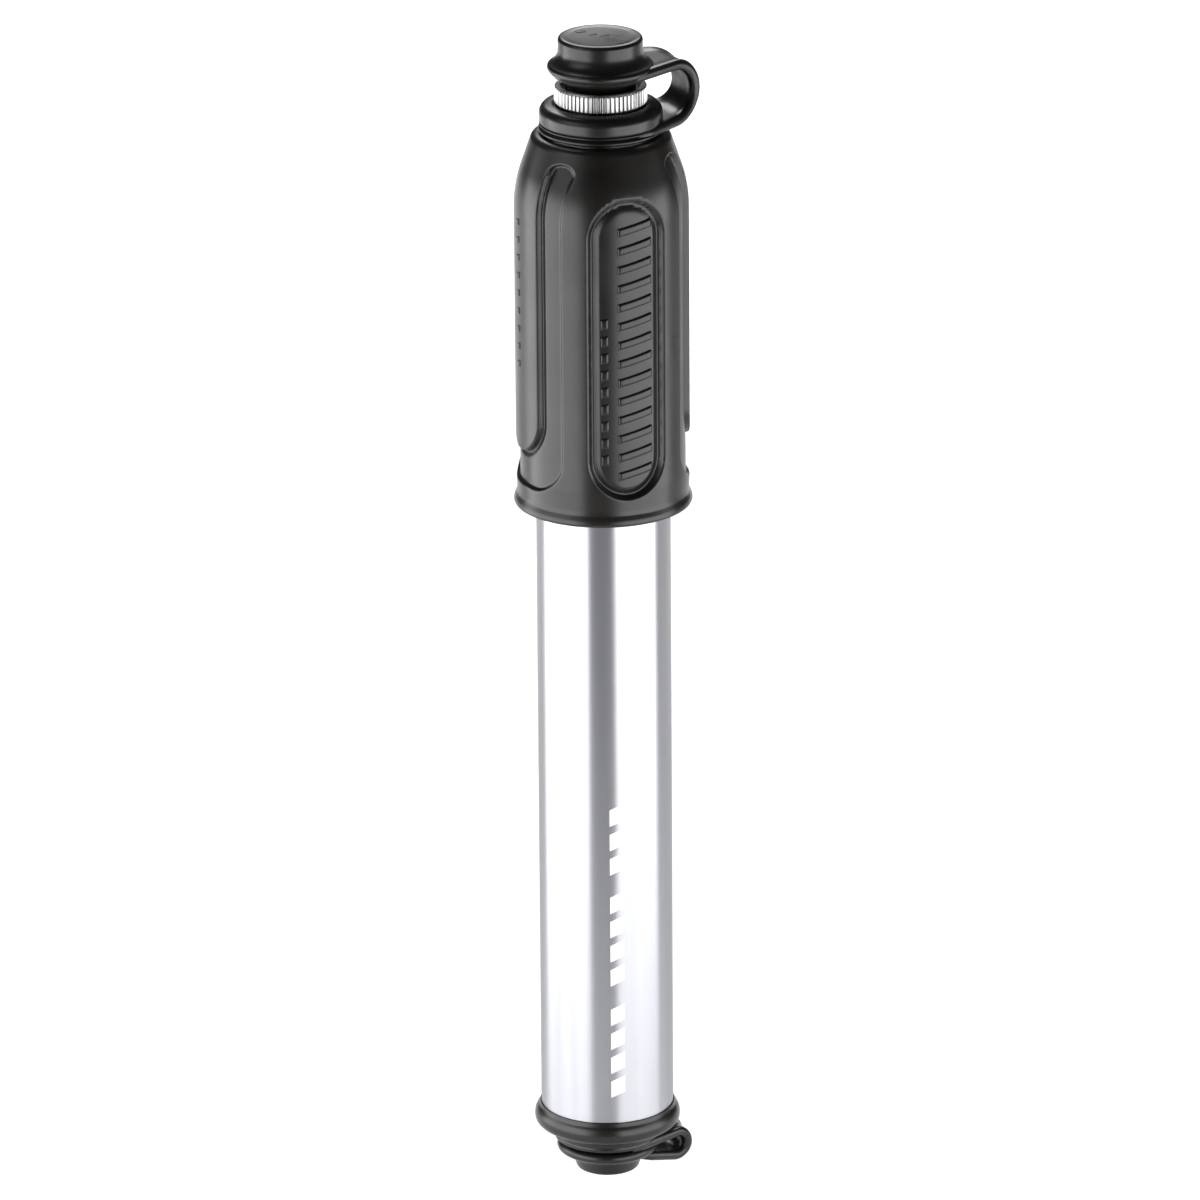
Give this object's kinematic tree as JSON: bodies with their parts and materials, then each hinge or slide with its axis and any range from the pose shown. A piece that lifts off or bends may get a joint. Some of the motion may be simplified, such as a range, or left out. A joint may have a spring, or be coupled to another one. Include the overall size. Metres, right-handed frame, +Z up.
{
  "type": "bicycle mini pump",
  "caption": "Slim hand pump for bicycle tyres: ribbed rubber grip on a silver barrel, knurled hose head stored in the handle, tethered rubber caps at both ends.",
  "frame": {"origin": "centre of the bottom plug's flat end, on the pump's axis", "axes": "+Z up the pump from the bottom plug to the top cap, +X towards the side that both caps' straps are on"},
  "size_m": [0.0273, 0.0252, 0.17],
  "materials": {
    "polished_aluminium": "polished and clear anodised",
    "machined_aluminium": "machined",
    "bright_aluminium": "bright machined",
    "black_anodised": "satin anodised",
    "red_anodised": "satin anodised",
    "brass": "machined",
    "spring_steel": "drawn wire",
    "bearing_steel": "polished",
    "grip_rubber": "satin moulded",
    "cap_rubber": "satin moulded",
    "seal_rubber": "smooth",
    "hose_rubber": "matt extruded",
    "white_acetal": "turned"
  },
  "bodies": {
    "barrel": {"barrel_tube": "polished_aluminium", "barrel_end_cap": "machined_aluminium", "end_cap_o_ring": "seal_rubber", "port_seal": "seal_rubber", "check_spring_retainer": "brass", "check_spring": "spring_steel", "gland_nut": "black_anodised", "gland_bushing": "white_acetal", "gland_wiper": "seal_rubber", "gland_bumper": "seal_rubber", "bottom_cap_collar": "cap_rubber", "bottom_cap_strap": "cap_rubber"},
    "check_valve": {"check_ball": "bearing_steel"},
    "bottom_plug": {"bottom_cap_plug": "cap_rubber"},
    "piston_seal": {"piston_o_ring": "seal_rubber", "piston_guide_ring": "white_acetal"},
    "handle": {"piston_head": "brass", "rod_o_ring": "seal_rubber", "piston_rod": "polished_aluminium", "handle_head": "machined_aluminium", "handle_tube": "machined_aluminium", "handle_bumper": "seal_rubber", "storage_o_ring": "seal_rubber", "grip_sleeve": "grip_rubber"},
    "hose": {"hose_chuck": "bright_aluminium", "chuck_grommet": "seal_rubber", "valve_pin": "brass", "chuck_ferrule": "machined_aluminium", "hose_tube": "hose_rubber", "fitting_ferrule": "machined_aluminium", "hose_fitting": "machined_aluminium", "fitting_o_ring": "seal_rubber", "bleed_spring": "spring_steel"},
    "bleed_valve": {"bleed_button": "red_anodised", "bleed_o_ring": "seal_rubber"},
    "top_cap": {"top_cap_collar": "cap_rubber", "top_cap_strap": "cap_rubber"},
    "top_plug": {"top_cap_plug": "cap_rubber"}
  },
  "joints": [
    {"name": "piston_slide", "type": "slide", "parent": "barrel", "child": "piston_seal", "axis": [0, 0, 1], "range_m": [0, 0.097]},
    {"name": "handle_spin", "type": "hinge", "parent": "piston_seal", "child": "handle", "pos_m": [0, 0, 0.12], "axis": [0, 0, 1], "continuous": true},
    {"name": "hose_slide", "type": "slide", "parent": "handle", "child": "hose", "axis": [0, 0, 1], "range_m": [0, 0.11]},
    {"name": "cap_slide", "type": "slide", "parent": "handle", "child": "top_cap", "axis": [0, 0, 1], "range_m": [0, 0.13]},
    {"name": "top_plug_hinge", "type": "hinge", "parent": "top_cap", "child": "top_plug", "pos_m": [0.01315, 0.00256, 0.1612], "axis": [-0.1908, 0.9816, 0], "range_deg": [0, 165], "deforming": ["top_cap_strap"]},
    {"name": "bottom_plug_hinge", "type": "hinge", "parent": "barrel", "child": "bottom_plug", "pos_m": [0.012, 0, 0.00305], "axis": [0, -1, 0], "range_deg": [0, 150], "deforming": ["bottom_cap_strap"]},
    {"name": "check_lift", "type": "slide", "parent": "barrel", "child": "check_valve", "axis": [0, 0, -1], "range_m": [0, 0.0008], "stiffness_N_per_m": 60, "springref_m": -0.0004, "deforming": ["check_spring"]},
    {"name": "bleed_press", "type": "slide", "parent": "hose", "child": "bleed_valve", "axis": [0, 1, 0], "range_m": [0, 0.0006], "stiffness_N_per_m": 200, "springref_m": -0.0003, "deforming": ["bleed_spring"]}
  ],
  "couplings": [
    {"joint": "cap_slide", "follows": "hose_slide", "ratio": 1.18}
  ]
}
